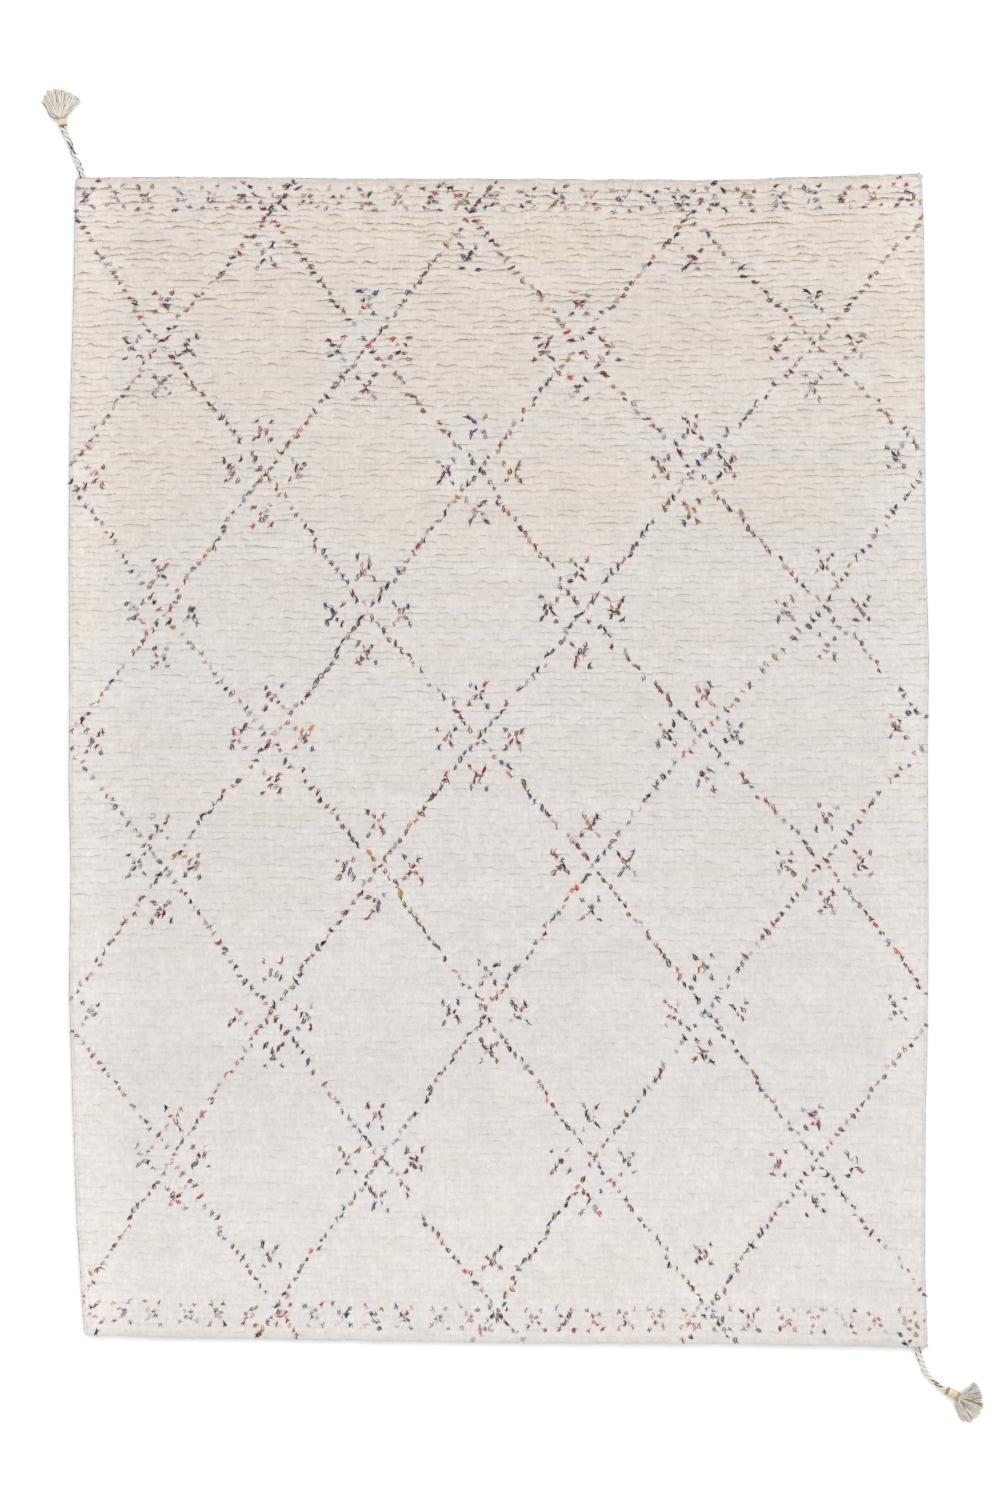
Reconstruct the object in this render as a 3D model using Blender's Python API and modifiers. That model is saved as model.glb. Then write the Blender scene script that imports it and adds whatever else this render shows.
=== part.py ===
"""A hand-knotted Moroccan wool rug laid flat, with a twisted cord and a tassel at two opposite corners.

Metres, +Z up. The underside lies on Z = 0, +Y points to the far end and the origin is the middle of the rug.
"""

import math
import random

import bmesh
import bpy
from mathutils import Vector, geometry, noise

# Pile slab: its rows of knots run across, from the far end to the near end
ROWS = 179
WIDE_COLUMNS = 8
RIM_COLUMN = 0.010
END_WALL_CUTS = 15
CREST_HEIGHT = 0.0225
GROOVE_HEIGHT = 0.0190
RIM_HEIGHT = 0.0145
ROW_HEIGHT_SPREAD = 0.0010
LUMP_HEIGHT = 0.0016
LUMP_SIZE = 0.170
CREST_LEAN = 0.30
ROW_WANDER = 0.0016
WANDER_SIZE = 0.260
WANDER_SLICE = 1.7

# Corners of the rug, as it lies: slightly out of square
CORNERS = {
    "far_left": Vector((-0.8725, 1.2040)),
    "far_right": Vector((0.8765, 1.2122)),
    "near_left": Vector((-0.8540, -1.1875)),
    "near_right": Vector((0.8890, -1.2142)),
}

# Each edge: its two corners, the way out, and how far it bows out at shares of its length
EDGES = {
    "far": {
        "ends": ("far_left", "far_right"),
        "out": Vector((0.0, 1.0)),
        "bow": (
            (0.00, 0.0),
            (0.08, 0.0010),
            (0.43, -0.0055),
            (0.78, -0.0105),
            (0.86, -0.0050),
            (1.00, 0.0),
        ),
    },
    "near": {
        "ends": ("near_left", "near_right"),
        "out": Vector((0.0, -1.0)),
        "bow": ((0.00, 0.0), (0.14, 0.0025), (0.42, 0.0030), (0.84, -0.0020), (1.00, 0.0)),
    },
    "left": {
        "ends": ("far_left", "near_left"),
        "out": Vector((-1.0, 0.0)),
        "bow": (
            (0.00, 0.0),
            (0.13, 0.0085),
            (0.26, 0.0255),
            (0.36, 0.0190),
            (0.50, 0.0300),
            (0.62, 0.0220),
            (0.73, 0.0260),
            (0.83, 0.0180),
            (1.00, 0.0),
        ),
    },
    "right": {
        "ends": ("far_right", "near_right"),
        "out": Vector((1.0, 0.0)),
        "bow": ((0.00, 0.0), (0.11, 0.0050), (0.40, 0.0090), (0.72, 0.0015), (0.86, -0.0045), (1.00, 0.0)),
    },
}
RIPPLE = 0.0016
RIPPLE_SIZE = 0.055
RIPPLE_SLICE = 0.37
CALM_START = 0.030
CALM_LENGTH = 0.060

# Pile locks that stand out of the rim
LOCK_SPACING = 0.044
LOCK_SPACING_SPREAD = 0.010
LOCK_REACH = (0.0030, 0.0065)
LOCK_TIP_HEIGHT = (0.0050, 0.0095)
CLEAR_OF_CORD = 0.022

# Corner cords: three twisted plies
CORD_RADIUS = 0.00625
PLY_RELIEF = 0.13
PLIES = 3
PROFILE_POINTS = 12
LAY_LENGTH = 0.034
CORD_STEP = 0.0046
SQUARE_END = 0.006
CURVE_STEPS = 12

# Wound thread round each tassel's neck
BINDING_RADIUS = 0.0085
BINDING_BULGE = 0.0010
BORE_RADIUS = 0.0051
THREAD_PITCH = 0.0035
THREAD_RELIEF = 0.0006
BINDING_STEPS = 12

# Tassel: a neck in the binding, a flared head, and strands in layers that fan out over the floor
NECK_RADIUS = 0.0046
HEAD_BACK_RADIUS = 0.0066
HEAD_RADIUS = 0.0080
HEAD_LENGTH = 0.0060
HEAD_BULGE = 0.0020
STRAND_COLUMNS = 10
STRAND_LAYERS = 4
ROOT_MARGIN = 0.00012
FULL_SHARE = 0.75
STRAND_WIDTH_SHARE = 0.74
TIP_WIDTH_SHARE = 0.35
STRAND_THICKNESS = 0.0021
TIP_THICKNESS_SHARE = 0.65
STAGGER = 0.25
LAYER_PITCH = 0.0026
TIP_SPREAD = 0.14
LOWEST_LAYER_SHARE = 0.90

# Each tasselled corner: where the cord leaves its edge, the way it lies, and the fan in degrees
TASSELLED_CORNERS = {
    "far_left": {
        "edge": "far",
        "share": 0.0075,
        "route": ((-0.8683, 1.2349), (-0.8849, 1.2751), (-0.8983, 1.3102)),
        "heading": 101.0,
        "binding_length": 0.0175,
        "reach": ((40.0, 0.062), (79.0, 0.065), (109.0, 0.069), (137.0, 0.056)),
    },
    "near_right": {
        "edge": "near",
        "share": 0.9886,
        "route": ((0.8764, -1.2407), (0.8867, -1.2675), (0.9053, -1.2881), (0.9282, -1.3034)),
        "heading": -27.0,
        "binding_length": 0.0280,
        "reach": ((-70.0, 0.054), (-54.0, 0.057), (-14.0, 0.054), (13.0, 0.049), (44.0, 0.047)),
    },
}

GAP = 0.0003
FLOOR_GAP = 0.0002
SEED = 21

# Base colour and roughness of each fibre
PILE_LOOK = ((0.78, 0.74, 0.67), 0.92)
CORD_LOOK = ((0.76, 0.70, 0.62), 0.85)
THREAD_LOOK = ((0.62, 0.40, 0.13), 0.45)
TASSEL_LOOK = ((0.80, 0.74, 0.65), 0.85)

LINES = 2 * ROWS
COLUMNS = WIDE_COLUMNS + 2


def clear_scene():
    for thing in list(bpy.data.objects):
        bpy.data.objects.remove(thing)


def new_collection(name):
    collection = bpy.data.collections.new(name)
    bpy.context.scene.collection.children.link(collection)
    return collection


def fibre(name, look):
    """A plain fibre material."""
    colour, roughness = look
    material = bpy.data.materials.new(name)
    material.use_nodes = True
    shader = material.node_tree.nodes["Principled BSDF"]
    shader.inputs["Base Color"].default_value = (*colour, 1.0)
    shader.inputs["Roughness"].default_value = roughness
    shader.inputs["Metallic"].default_value = 0.0
    return material


def blend(table, share):
    """A value read from rows of (place, value), eased from one row to the next."""
    for (left, low), (right, high) in zip(table, table[1:]):
        if share <= right:
            part = max(0.0, (share - left) / (right - left))
            return low + (high - low) * part * part * (3 - 2 * part)
    return table[-1][1]


def edge_point(name, share):
    """A point of the rug's outline, a share of the way along one edge."""
    edge = EDGES[name]
    start = CORNERS[edge["ends"][0]]
    stop = CORNERS[edge["ends"][1]]
    place = start.lerp(stop, share)
    length = (stop - start).length
    from_corner = min(share, 1 - share) * length
    calm = min(1.0, max(0.0, (from_corner - CALM_START) / CALM_LENGTH))
    ripple = RIPPLE * calm * noise.noise(Vector((place.x, place.y, RIPPLE_SLICE)) / RIPPLE_SIZE)
    return place + edge["out"] * (blend(edge["bow"], share) + ripple)


def plan_point(across, along):
    """A point inside the four edges, at shares of the width and of the length."""
    far = edge_point("far", across)
    near = edge_point("near", across)
    left = edge_point("left", along)
    right = edge_point("right", along)
    far_pair = CORNERS["far_left"].lerp(CORNERS["far_right"], across)
    near_pair = CORNERS["near_left"].lerp(CORNERS["near_right"], across)
    return far.lerp(near, along) + left.lerp(right, across) - far_pair.lerp(near_pair, along)


def column_share(column):
    """The share of the width at a column, with a narrow column along each side."""
    width = (CORNERS["far_right"] - CORNERS["far_left"]).length
    rim = RIM_COLUMN / width
    if column <= 1:
        return rim * column
    if column >= COLUMNS - 1:
        return 1 - rim * (COLUMNS - column)
    return rim + (1 - 2 * rim) * (column - 1) / WIDE_COLUMNS


def place_pile(vertex, chance):
    """Moves a point of the flat grid to the pile: a crest on each odd line, a groove on each even one."""
    column = (vertex.co.x + 0.5) * COLUMNS
    line = round((0.5 - vertex.co.y) * LINES)
    on_crest = line % 2 == 1
    at_end = line in (0, LINES)
    at_side = column < 0.5 or column > COLUMNS - 0.5
    along = (line + (CREST_LEAN if on_crest else 0.0)) / LINES
    place = plan_point(column_share(column), along)
    if not at_end:
        place.y += ROW_WANDER * noise.noise(Vector((place.x, place.y, WANDER_SLICE)) / WANDER_SIZE)
    height = CREST_HEIGHT if on_crest else GROOVE_HEIGHT
    if at_end or at_side:
        height = RIM_HEIGHT if not on_crest else (RIM_HEIGHT + GROOVE_HEIGHT) / 2
    height += LUMP_HEIGHT * noise.noise(Vector((place.x, place.y, 0.0)) / LUMP_SIZE)
    height += chance.uniform(-ROW_HEIGHT_SPREAD, ROW_HEIGHT_SPREAD)
    vertex.co = (place.x, place.y, height)


def raise_locks(mesh, walls, chance):
    """Draws rim faces out to the tips of pile locks, evenly but not regularly round the rug."""
    starts = [cord_start(corner)[0] for corner in TASSELLED_CORNERS.values()]
    chosen = []
    since = 0.0
    wait = LOCK_SPACING
    walls.sort(key=lambda wall: math.atan2(wall.calc_center_median().y, wall.calc_center_median().x))
    for before, wall in zip(walls, walls[1:]):
        here = wall.calc_center_median()
        since += (here - before.calc_center_median()).to_2d().length
        near_cord = any((here.to_2d() - start).length < CLEAR_OF_CORD for start in starts)
        if since >= wait and not near_cord:
            chosen.append(wall)
            since = 0.0
            wait = LOCK_SPACING + chance.uniform(-LOCK_SPACING_SPREAD, LOCK_SPACING_SPREAD)
    tips = bmesh.ops.poke(mesh, faces=chosen)["verts"]
    for tip in tips:
        tip.co += tip.link_faces[0].normal * chance.uniform(*LOCK_REACH)
        tip.co.z = chance.uniform(*LOCK_TIP_HEIGHT)


def build_rug(collection):
    """The pile slab: a ridged, lumpy top, walls with locks, and a flat underside."""
    chance = random.Random(SEED)
    mesh = bmesh.new()
    bmesh.ops.create_grid(mesh, x_segments=COLUMNS, y_segments=LINES, size=0.5)
    ends = [
        edge
        for edge in mesh.edges
        if all(abs(abs(vertex.co.y) - 0.5) < 1e-5 for vertex in edge.verts)
        and all(abs(vertex.co.x) < 0.5 - 0.5 / COLUMNS for vertex in edge.verts)
    ]
    bmesh.ops.subdivide_edges(mesh, edges=ends, cuts=END_WALL_CUTS)
    for vertex in mesh.verts:
        place_pile(vertex, chance)
    rim = [edge for edge in mesh.edges if edge.is_boundary]
    skirt = bmesh.ops.extrude_edge_only(mesh, edges=rim)["geom"]
    for vertex in (item for item in skirt if isinstance(item, bmesh.types.BMVert)):
        vertex.co.z = 0.0
    walls = [item for item in skirt if isinstance(item, bmesh.types.BMFace)]
    foot = [edge for edge in mesh.edges if edge.is_boundary]
    bmesh.ops.contextual_create(mesh, geom=foot)
    bmesh.ops.recalc_face_normals(mesh, faces=mesh.faces)
    mesh.normal_update()
    raise_locks(mesh, walls, chance)
    data = bpy.data.meshes.new("rug")
    mesh.to_mesh(data)
    mesh.free()
    data.materials.append(fibre("cream pile wool", PILE_LOOK))
    rug = bpy.data.objects.new("rug", data)
    collection.objects.link(rug)
    return rug


def cord_start(corner):
    """Where a cord leaves its edge, and the way out of that edge."""
    out = EDGES[corner["edge"]]["out"]
    return edge_point(corner["edge"], corner["share"]), out


def heading_of(corner):
    """The level direction in which the binding and the tassel's neck point."""
    angle = math.radians(corner["heading"])
    return Vector((math.cos(angle), math.sin(angle), 0.0))


def cord_route(corner):
    """Even points along the cord, from the rug's wall to the tassel's binding, square to both."""
    wall, out = cord_start(corner)
    low = CORD_RADIUS + FLOOR_GAP
    high = BINDING_RADIUS + BINDING_BULGE + FLOOR_GAP
    begin = (wall + out * GAP).to_3d() + Vector((0.0, 0.0, low))
    end = Vector((*corner["route"][-1], high))
    leaving = begin + out.to_3d() * SQUARE_END
    arriving = end - heading_of(corner) * SQUARE_END
    between = [Vector((*place, low)) for place in corner["route"][:-1]]
    line = [begin, leaving, *between, arriving, end]
    dense = [begin]
    for last, start, stop, following in zip(line, line[1:], line[2:], line[3:]):
        leave = start + (stop - last) / 6
        arrive = stop - (following - start) / 6
        dense.extend(geometry.interpolate_bezier(start, leave, arrive, stop, CURVE_STEPS)[:-1])
    dense.extend([arriving, end])
    return even_points(dense)


def even_points(points):
    """The same line in equal steps of about CORD_STEP."""
    lengths = [0.0]
    for start, stop in zip(points, points[1:]):
        lengths.append(lengths[-1] + (stop - start).length)
    steps = round(lengths[-1] / CORD_STEP)
    evened = []
    for step in range(steps + 1):
        target = lengths[-1] * step / steps
        index = max(1, next(i for i, length in enumerate(lengths) if length >= target - 1e-9))
        part = (target - lengths[index - 1]) / (lengths[index] - lengths[index - 1])
        evened.append(points[index - 1].lerp(points[index], part))
    return evened


def ply_profile(guides):
    """The cord's section: a ring with a lobe for each ply."""
    curve = bpy.data.curves.new("cord_section", "CURVE")
    curve.dimensions = "2D"
    spline = curve.splines.new("POLY")
    spline.points.add(PROFILE_POINTS - 1)
    spline.use_cyclic_u = True
    mean = CORD_RADIUS / (1 + PLY_RELIEF)
    for index, point in enumerate(spline.points):
        angle = -2 * math.pi * index / PROFILE_POINTS
        radius = mean * (1 + PLY_RELIEF * math.cos(PLIES * angle))
        point.co = (radius * math.cos(angle), radius * math.sin(angle), 0.0, 1.0)
    section = bpy.data.objects.new("cord_section", curve)
    section.hide_render = True
    section.display_type = "WIRE"
    guides.objects.link(section)
    return section


def build_cord(name, route, section, collection):
    """A twisted cord: the lobed section swept along the route while it turns."""
    curve = bpy.data.curves.new(name, "CURVE")
    curve.dimensions = "3D"
    curve.bevel_mode = "OBJECT"
    curve.bevel_object = section
    curve.use_fill_caps = True
    curve.twist_mode = "Z_UP"
    spline = curve.splines.new("POLY")
    spline.points.add(len(route) - 1)
    run = 0.0
    for index, (point, place) in enumerate(zip(spline.points, route)):
        if index:
            run += (place - route[index - 1]).length
        point.co = (*place, 1.0)
        point.tilt = -2 * math.pi * run / LAY_LENGTH
    curve.materials.append(fibre(f"{name} yarn", CORD_LOOK))
    cord = bpy.data.objects.new(name, curve)
    collection.objects.link(cord)
    return cord


def build_binding(name, length, collection):
    """A sleeve of wound thread: a ridged profile turned about its own Z axis, its back end at the origin."""
    turns = round(length / THREAD_PITCH)
    profile = []
    for step in range(2 * turns + 1):
        share = 1 - step / (2 * turns)
        radius = BINDING_RADIUS + BINDING_BULGE * math.sin(math.pi * share)
        if step % 2 == 0:
            radius -= THREAD_RELIEF
        profile.append((radius, 0.0, length * share))
    profile += [(BORE_RADIUS, 0.0, 0.0), (BORE_RADIUS, 0.0, length)]
    count = len(profile)
    data = bpy.data.meshes.new(name)
    data.from_pydata(profile, [(i, (i + 1) % count) for i in range(count)], [])
    data.materials.append(fibre(f"{name} gold thread", THREAD_LOOK))
    binding = bpy.data.objects.new(name, data)
    collection.objects.link(binding)
    turn = binding.modifiers.new("turn", "SCREW")
    turn.axis = "Z"
    turn.steps = BINDING_STEPS
    turn.render_steps = BINDING_STEPS
    turn.use_merge_vertices = True
    turn.merge_threshold = 0.00001
    return binding


def head_grid(mesh, front, height):
    """The front of the head: a grid rounded to a disc, with a cell for the root of each strand.

    Gives each cell's column and layer, and for each of its corners whether it is the left and the upper one.
    """
    bmesh.ops.create_grid(mesh, x_segments=STRAND_COLUMNS, y_segments=STRAND_LAYERS, size=1.0)
    cells = {}
    for face in mesh.faces:
        middle = face.calc_center_median()
        column = int((middle.x + 1) / 2 * STRAND_COLUMNS)
        layer = int((middle.y + 1) / 2 * STRAND_LAYERS)
        sides = [(vertex.co.x > middle.x, vertex.co.y > middle.y) for vertex in face.verts]
        cells[face] = (column, layer, sides)
    for vertex in mesh.verts:
        side, up = vertex.co.x, vertex.co.y
        round_side = side * math.sqrt(1 - up * up / 2)
        round_up = up * math.sqrt(1 - side * side / 2)
        bulge = HEAD_BULGE * (1 - min(1.0, round_side**2 + round_up**2))
        vertex.co = (front + bulge, HEAD_RADIUS * round_side, height + HEAD_RADIUS * round_up)
    return cells


def draw_back(mesh, sections, height):
    """Extrudes the open rim of the head back through (place, radius) sections, and closes the last one."""
    rim = [edge for edge in mesh.edges if edge.is_boundary]
    for place, radius in sections:
        grown = bmesh.ops.extrude_edge_only(mesh, edges=rim)["geom"]
        for vertex in (item for item in grown if isinstance(item, bmesh.types.BMVert)):
            away = Vector((0.0, vertex.co.y, vertex.co.z - height)).normalized()
            vertex.co = Vector((place, 0.0, height)) + away * radius
        rim = [item for item in grown if isinstance(item, bmesh.types.BMEdge) and item.is_boundary]
    bmesh.ops.contextual_create(mesh, geom=rim)


def strand_sections(column, layer, length, corner, chance):
    """The full and the tip section of one strand: centre, side vector, half width and half thickness."""
    first = corner["reach"][0][0]
    last = corner["reach"][-1][0]
    pitch = (last - first) / STRAND_COLUMNS
    stagger = STAGGER if layer % 2 else -STAGGER
    bearing = first + pitch * (column + 0.5 + stagger)
    reach = blend(corner["reach"], bearing) - HEAD_LENGTH / 2
    if layer == 0:
        reach *= LOWEST_LAYER_SHARE
    angle = math.radians(bearing - corner["heading"])
    ahead = Vector((math.cos(angle), math.sin(angle), 0.0))
    aside = Vector((-math.sin(angle), math.cos(angle), 0.0))
    rest = FLOOR_GAP + STRAND_THICKNESS / 2 + LAYER_PITCH * layer
    root = Vector((length, 0.0, rest))
    full_width = math.radians(pitch) * reach * FULL_SHARE * STRAND_WIDTH_SHARE
    tip_reach = reach * chance.uniform(1 - TIP_SPREAD, 1.0)
    tip_thickness = STRAND_THICKNESS * TIP_THICKNESS_SHARE
    return (
        (root + ahead * reach * FULL_SHARE, aside, full_width / 2, STRAND_THICKNESS / 2),
        (root + ahead * tip_reach, aside, full_width * TIP_WIDTH_SHARE / 2, tip_thickness / 2),
    )


def draw_strand(mesh, face, sides, sections):
    """Extrudes one root face through the sections, each corner keeping its own side and height."""
    for centre, aside, half_width, half_height in sections:
        face = bmesh.ops.extrude_discrete_faces(mesh, faces=[face])["faces"][0]
        for vertex, (leftward, upward) in zip(face.verts, sides):
            across = aside * (half_width if leftward else -half_width)
            rise = Vector((0.0, 0.0, half_height if upward else -half_height))
            vertex.co = centre + across + rise


def build_tassel(name, corner, collection):
    """A tassel along its own X axis, its neck's end at the origin and the floor at Z = 0."""
    chance = random.Random(SEED + len(name))
    height = BINDING_RADIUS + BINDING_BULGE + FLOOR_GAP
    shoulder = corner["binding_length"] + GAP
    front = shoulder + HEAD_LENGTH
    mesh = bmesh.new()
    cells = head_grid(mesh, front, height)
    flare = (
        (shoulder + HEAD_LENGTH / 3, (HEAD_RADIUS + HEAD_BACK_RADIUS) / 2),
        (shoulder, HEAD_BACK_RADIUS),
        (shoulder, NECK_RADIUS),
        (0.0, NECK_RADIUS),
    )
    draw_back(mesh, flare, height)
    bmesh.ops.recalc_face_normals(mesh, faces=mesh.faces)
    bmesh.ops.inset_individual(mesh, faces=list(cells), thickness=ROOT_MARGIN, use_even_offset=True)
    for root, (column, layer, sides) in cells.items():
        draw_strand(mesh, root, sides, strand_sections(column, layer, front, corner, chance))
    data = bpy.data.meshes.new(name)
    mesh.to_mesh(data)
    mesh.free()
    data.materials.append(fibre(f"{name} yarn", TASSEL_LOOK))
    tassel = bpy.data.objects.new(name, data)
    collection.objects.link(tassel)
    return tassel


def build_corner(name, section, frame, parts):
    """A corner's cord, the thread bound round the tassel's neck, and the tassel."""
    corner = TASSELLED_CORNERS[name]
    route = cord_route(corner)
    ahead = heading_of(corner)
    seat = route[-1] + ahead * GAP
    cord = build_cord(f"cord_{name}", route, section, parts)
    binding = build_binding(f"binding_{name}", corner["binding_length"], parts)
    binding.location = seat
    binding.rotation_mode = "QUATERNION"
    binding.rotation_quaternion = ahead.to_track_quat("Z", "Y")
    tassel = build_tassel(f"tassel_{name}", corner, parts)
    tassel.location = (seat.x, seat.y, 0.0)
    tassel.rotation_euler.z = math.radians(corner["heading"])
    for piece in (cord, binding, tassel):
        piece.parent = frame


def main():
    clear_scene()
    parts = new_collection("moroccan_rug")
    guides = new_collection("guides")
    frame = bpy.data.objects.new("rug_frame", None)
    parts.objects.link(frame)
    rug = build_rug(parts)
    rug.parent = frame
    section = ply_profile(guides)
    for name in TASSELLED_CORNERS:
        build_corner(name, section, frame, parts)
    low = [min(vertex.co[axis] for vertex in rug.data.vertices) for axis in (0, 1)]
    high = [max(vertex.co[axis] for vertex in rug.data.vertices) for axis in (0, 1)]
    frame.location = (-(low[0] + high[0]) / 2, -(low[1] + high[1]) / 2, 0.0)
    bpy.context.view_layer.update()


main()
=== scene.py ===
"""A hand-knotted Moroccan wool rug seen from straight above, with a cord and a tassel at two corners.

Metres, +Z up, +Y towards the far end. Many small tufts and yarns are joined into a few meshes.
"""

import math

import bpy
import numpy as np
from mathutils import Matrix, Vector, geometry


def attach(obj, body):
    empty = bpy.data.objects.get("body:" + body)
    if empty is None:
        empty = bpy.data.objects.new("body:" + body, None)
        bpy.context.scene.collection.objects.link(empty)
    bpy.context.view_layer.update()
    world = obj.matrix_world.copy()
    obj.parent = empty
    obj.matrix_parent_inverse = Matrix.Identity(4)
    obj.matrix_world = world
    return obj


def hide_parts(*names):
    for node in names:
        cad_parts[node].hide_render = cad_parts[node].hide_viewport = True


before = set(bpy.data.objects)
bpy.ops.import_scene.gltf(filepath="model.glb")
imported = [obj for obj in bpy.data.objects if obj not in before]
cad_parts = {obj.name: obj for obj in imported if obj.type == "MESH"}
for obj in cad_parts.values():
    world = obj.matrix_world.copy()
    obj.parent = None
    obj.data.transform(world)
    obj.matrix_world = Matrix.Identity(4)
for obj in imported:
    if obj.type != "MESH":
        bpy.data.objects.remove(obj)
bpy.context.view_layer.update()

# The view: straight down, with the origin of the frame at one pixel of the picture
PIXEL = 0.002065
PICTURE = (1000, 1500)
ORIGIN_PIXEL = (497.5, 760.0)
VIEW_HEIGHT = 7.0
PILE_TOP = 0.021
SENSOR = 36.0

# Light and floor: a white sky, a wide soft sun with the way to it, and a large square
SKY_STRENGTH = 0.93
SUN_STRENGTH = 1.56
SUN_SPREAD = 60.0
SUN_WAY = (0.15, 1.0, 1.30)
FLOOR_HALF = 9.0
FLOOR_LEVEL = -0.0004

# Knots: rows run across the rug, from the far end to the near end
ROWS = 179
KNOTS = 168
PANELS = 5

# How far the middle of the rug lies from the origin of the drawn corners
FRAME_SHIFT = Vector((0.00088, 0.00002, 0.0))

# The way up, the least height above the floor, the gap between pieces, and the unit of the fibres
UP = np.array((0.0, 0.0, 1.0))
FLOOR_GAP = 0.0002
GAP = 0.0003
MILLIMETRES = 1000

# Corner cords: their route, and the plies and strands they are twisted from
CORD_RADIUS = 0.00625
CORD_STEP = 0.0046
CURVE_STEPS = 12
SQUARE_END = 0.006
PLIES = 3
PLY_OFFSET = 0.00335
LAY_LENGTH = 0.034
STRANDS = 5
STRAND_OFFSET = 0.00155
STRAND_RADIUS = 0.00128
STRAND_LAY = 0.021
STRAND_TINT = (1.0, 0.965, 0.925)

# Bindings and tassels
BINDING_RADIUS = 0.0085
BINDING_BULGE = 0.0010
THREAD_RADIUS = 0.00066
THREAD_PITCH = 0.00118
THREAD_SIDES = 6
TURN_STEPS = 18
CORE_SIZE = (25, 24)
CORE_END_RADIUS = 0.0052
CORE_INSET = 0.0002
AXIS_HEIGHT = BINDING_RADIUS + BINDING_BULGE + FLOOR_GAP
HEAD_RADIUS = 0.0080
HEAD_BACK_RADIUS = 0.0066
TASSEL_YARNS = 230
TASSEL_SECTIONS = 10
TASSEL_RADII = (0.00062, 0.00088)
TASSEL_REACH = (0.88, 1.02)

# Corners: the place on the rug's wall and the way out of it, the cord's route and last heading, the length of
# the binding, how far the yarns reach at each bearing, and how far the first and the last yarns bow out
CORNERS = {
    "far_left": {
        "wall": (-0.8594, 1.2044),
        "out": (0.0, 1.0),
        "route": ((-0.8683, 1.2349), (-0.8849, 1.2751), (-0.8983, 1.3102)),
        "heading": 101.0,
        "binding_length": 0.0175,
        "bearings": (40.0, 52.0, 66.0, 80.0, 104.0, 117.0, 131.0, 143.0),
        "reaches": (0.0545, 0.0525, 0.0520, 0.0560, 0.0600, 0.0630, 0.0555, 0.0530),
        "belly": (0.0, 0.0080),
    },
    "near_right": {
        "wall": (0.8691, -1.2142),
        "out": (0.0, -1.0),
        "route": ((0.8764, -1.2407), (0.8867, -1.2675), (0.9053, -1.2881), (0.9282, -1.3034)),
        "heading": -27.0,
        "binding_length": 0.0280,
        "bearings": (-86.0, -71.0, -43.0, -14.0, 0.0, 17.0, 48.0),
        "reaches": (0.0500, 0.0590, 0.0560, 0.0500, 0.0460, 0.0450, 0.0435),
        "belly": (0.0090, 0.0),
    },
}

# Lattice: the row of its crossings at the left and at the right edge, and the knots at which its lines cross
LATTICE = (
    (5.0, 5.0, (-1, 38, 78, 121, 168)),
    (25.0, 25.0, (17, 58, 99, 146)),
    (45.2, 43.0, (-1, 38, 80, 122, 169)),
    (67.0, 65.0, (18, 58, 100, 147)),
    (86.5, 84.0, (-1, 39, 80, 123, 169)),
    (106.0, 104.0, (18, 60, 102, 147)),
    (128.5, 126.5, (-2, 39, 81, 124, 169)),
    (150.5, 150.0, (19, 60, 102, 146)),
    (174.0, 172.2, (-2, 38, 82, 124, 169)),
)

# The most knots that a line of the lattice moves aside from one crossing to the next
LINE_REACH = 30

# Shares of each selvedge's length from the far corner, and how far it bows out there, in metres
SELVEDGES = {
    "left": (
        (0.00, 0.10, 0.21, 0.33, 0.45, 0.52, 0.60, 0.70, 0.80, 0.90, 1.00),
        (0.0, 0.0060, 0.0155, 0.0200, 0.0205, 0.0235, 0.0210, 0.0260, 0.0210, 0.0140, 0.0),
    ),
    "right": (
        (0.00, 0.05, 0.31, 0.41, 0.48, 0.64, 0.75, 0.80, 0.93, 1.00),
        (0.0, 0.0045, 0.0045, 0.0105, 0.0070, 0.0065, 0.0025, -0.0015, -0.0045, 0.0),
    ),
}

# How far the motifs lie from their crossing: rows, rows at the near end, and knots at the left and the right
MOTIF_ROWS = 6.4
LAST_MOTIF_ROWS = 8.0
MOTIF_KNOTS = (5.8, 7.3)
MOTIF_SIZE = 4

# Bands at both ends: the first row of their motifs, and the knots from one motif to the next
BANDS = (1, 173)
BAND_PITCH = 6.25

# Tufts: their width and section, the heights of their crown and of the yarn that lies on them, and how
# many loose ends a layer has
TUFT_WIDTH = 0.0150
TUFT_SECTION = np.array((-0.5, -0.19, 0.19, 0.5))
TUFT_CROWN = 0.0218
SURFACE = 0.0222
LOOSE_ENDS = 11500

# How many rows a tuft's root lies behind its knot and its tip ahead, and the row by which the grooves close
ROOT_ROWS = 0.45
TIP_ROWS = 1.04
CLOSED_ROW = 125

# The least and the most length and half width of single yarns: loose, stout coloured and stray coloured
LOOSE_LENGTHS = (0.010, 0.020)
LOOSE_WIDTHS = (0.0010, 0.0022)
STOUT_LENGTHS = (0.0085, 0.0150)
STOUT_WIDTHS = (0.0006, 0.0011)
STRAY_LENGTHS = (0.0070, 0.0150)
STRAY_WIDTHS = (0.0004, 0.0008)

# How far the yarns of one coloured knot lie from its middle
SPOTS = (-0.0017, 0.0017, 0.0)

# Tufts round the rim: their spacing and width, and for each layer how far in its root lies, how high its
# crest is, how far it reaches out and how low its foot is. The rug's rough size finds the knot beside each
RIM_STEP = 0.0098
RIM_WIDTH = 0.0125
RIM_LAYERS = ((0.0060, 0.0180, 0.0002, 0.0070), (0.0040, 0.0115, 0.0004, 0.0012))
RUG_SIZE = (1.77, 2.43)

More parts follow.
